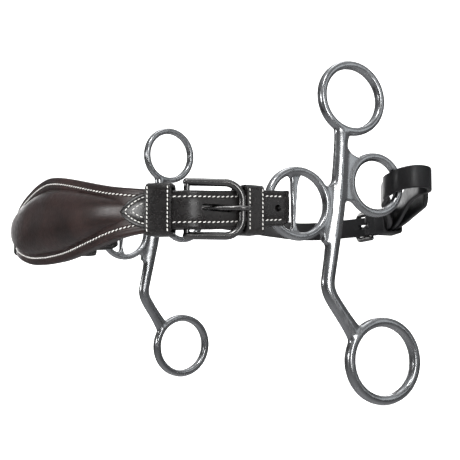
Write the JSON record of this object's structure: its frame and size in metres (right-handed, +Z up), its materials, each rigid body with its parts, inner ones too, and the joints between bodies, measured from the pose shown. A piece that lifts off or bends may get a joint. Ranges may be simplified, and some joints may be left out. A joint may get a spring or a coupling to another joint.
{
  "type": "bitless hackamore",
  "caption": "Shanked bitless hackamore: padded leather noseband buckled to two steel cheekpieces with rings, joined at the back by a curb strap.",
  "frame": {"origin": "midway between the centres of the two front rings, where the horse's muzzle passes through", "axes": "+X towards the horse's right, +Y towards the nosepiece, +Z up along the muzzle towards the eyes"},
  "size_m": [0.2544, 0.2151, 0.1801],
  "materials": {
    "polished_steel": "polished",
    "buckle_metal": "dark polished",
    "strap_leather": "smooth waxed",
    "curb_leather": "smooth satin",
    "nosepiece_leather": "polished padded",
    "lining_leather": "soft",
    "filler_felt": "felt",
    "thread": "waxed thread"
  },
  "bodies": {
    "noseband": {"nosepiece_outer": "nosepiece_leather", "nosepiece_filler": "filler_felt", "nosepiece_lining": "lining_leather", "left_billet": "strap_leather", "right_billet": "strap_leather", "left_buckle_chape": "strap_leather", "right_buckle_chape": "strap_leather", "left_front_keeper": "strap_leather", "right_front_keeper": "strap_leather"},
    "left_cheekpiece": {"left_cheek": "polished_steel"},
    "right_cheekpiece": {"right_cheek": "polished_steel"},
    "left_sliding_keeper": {"left_rear_keeper": "strap_leather"},
    "right_sliding_keeper": {"right_rear_keeper": "strap_leather"},
    "left_buckle": {"left_buckle_frame": "buckle_metal"},
    "right_buckle": {"right_buckle_frame": "buckle_metal"},
    "left_tongue": {"left_buckle_tongue": "buckle_metal"},
    "right_tongue": {"right_buckle_tongue": "buckle_metal"},
    "curb": {"curb_near_loop": "curb_leather", "curb_strap": "curb_leather", "curb_keeper": "curb_leather"},
    "curb_buckle": {"curb_buckle_frame": "buckle_metal"},
    "curb_tongue": {"curb_buckle_tongue": "buckle_metal"}
  },
  "joints": [
    {"name": "left_cheek_turn", "type": "hinge", "parent": "noseband", "child": "left_cheekpiece", "pos_m": [-0.1108, 0, 0], "axis": [1, 0, 0], "range_deg": [-8, 8]},
    {"name": "right_cheek_turn", "type": "hinge", "parent": "noseband", "child": "right_cheekpiece", "pos_m": [0.1108, 0, 0], "axis": [1, 0, 0], "range_deg": [-8, 8]},
    {"name": "curb_swing", "type": "hinge", "parent": "left_cheekpiece", "child": "curb", "pos_m": [-0.1133, -0.0469, 0.0121], "axis": [1, 0, 0], "range_deg": [-8, 8]},
    {"name": "left_buckle_lift", "type": "hinge", "parent": "noseband", "child": "left_buckle", "pos_m": [-0.11004, 0.0624, -0.0056], "axis": [0, 0, -1], "range_deg": [0, 6]},
    {"name": "right_buckle_lift", "type": "hinge", "parent": "noseband", "child": "right_buckle", "pos_m": [0.11004, 0.0624, -0.0056], "axis": [0, 0, 1], "range_deg": [0, 6]},
    {"name": "left_tongue_lift", "type": "hinge", "parent": "left_buckle", "child": "left_tongue", "pos_m": [-0.11004, 0.0624, -0.0052], "axis": [0, 0, -1], "range_deg": [0, 4]},
    {"name": "right_tongue_lift", "type": "hinge", "parent": "right_buckle", "child": "right_tongue", "pos_m": [0.11004, 0.0624, -0.0052], "axis": [0, 0, 1], "range_deg": [0, 4]},
    {"name": "left_keeper_slide", "type": "slide", "parent": "noseband", "child": "left_sliding_keeper", "axis": [0, -1, 0], "range_m": [0, 0.004]},
    {"name": "right_keeper_slide", "type": "slide", "parent": "noseband", "child": "right_sliding_keeper", "axis": [0, -1, 0], "range_m": [0, 0.004]},
    {"name": "curb_buckle_lift", "type": "hinge", "parent": "curb", "child": "curb_buckle", "pos_m": [-0.036, -0.104, -0.0012], "axis": [0, 0, -1], "range_deg": [0, 6]},
    {"name": "curb_tongue_lift", "type": "hinge", "parent": "curb_buckle", "child": "curb_tongue", "pos_m": [-0.036, -0.104, -0.0012], "axis": [0, 0, -1], "range_deg": [0, 4]}
  ],
  "couplings": [
    {"joint": "right_cheek_turn", "follows": "left_cheek_turn", "ratio": 1}
  ]
}
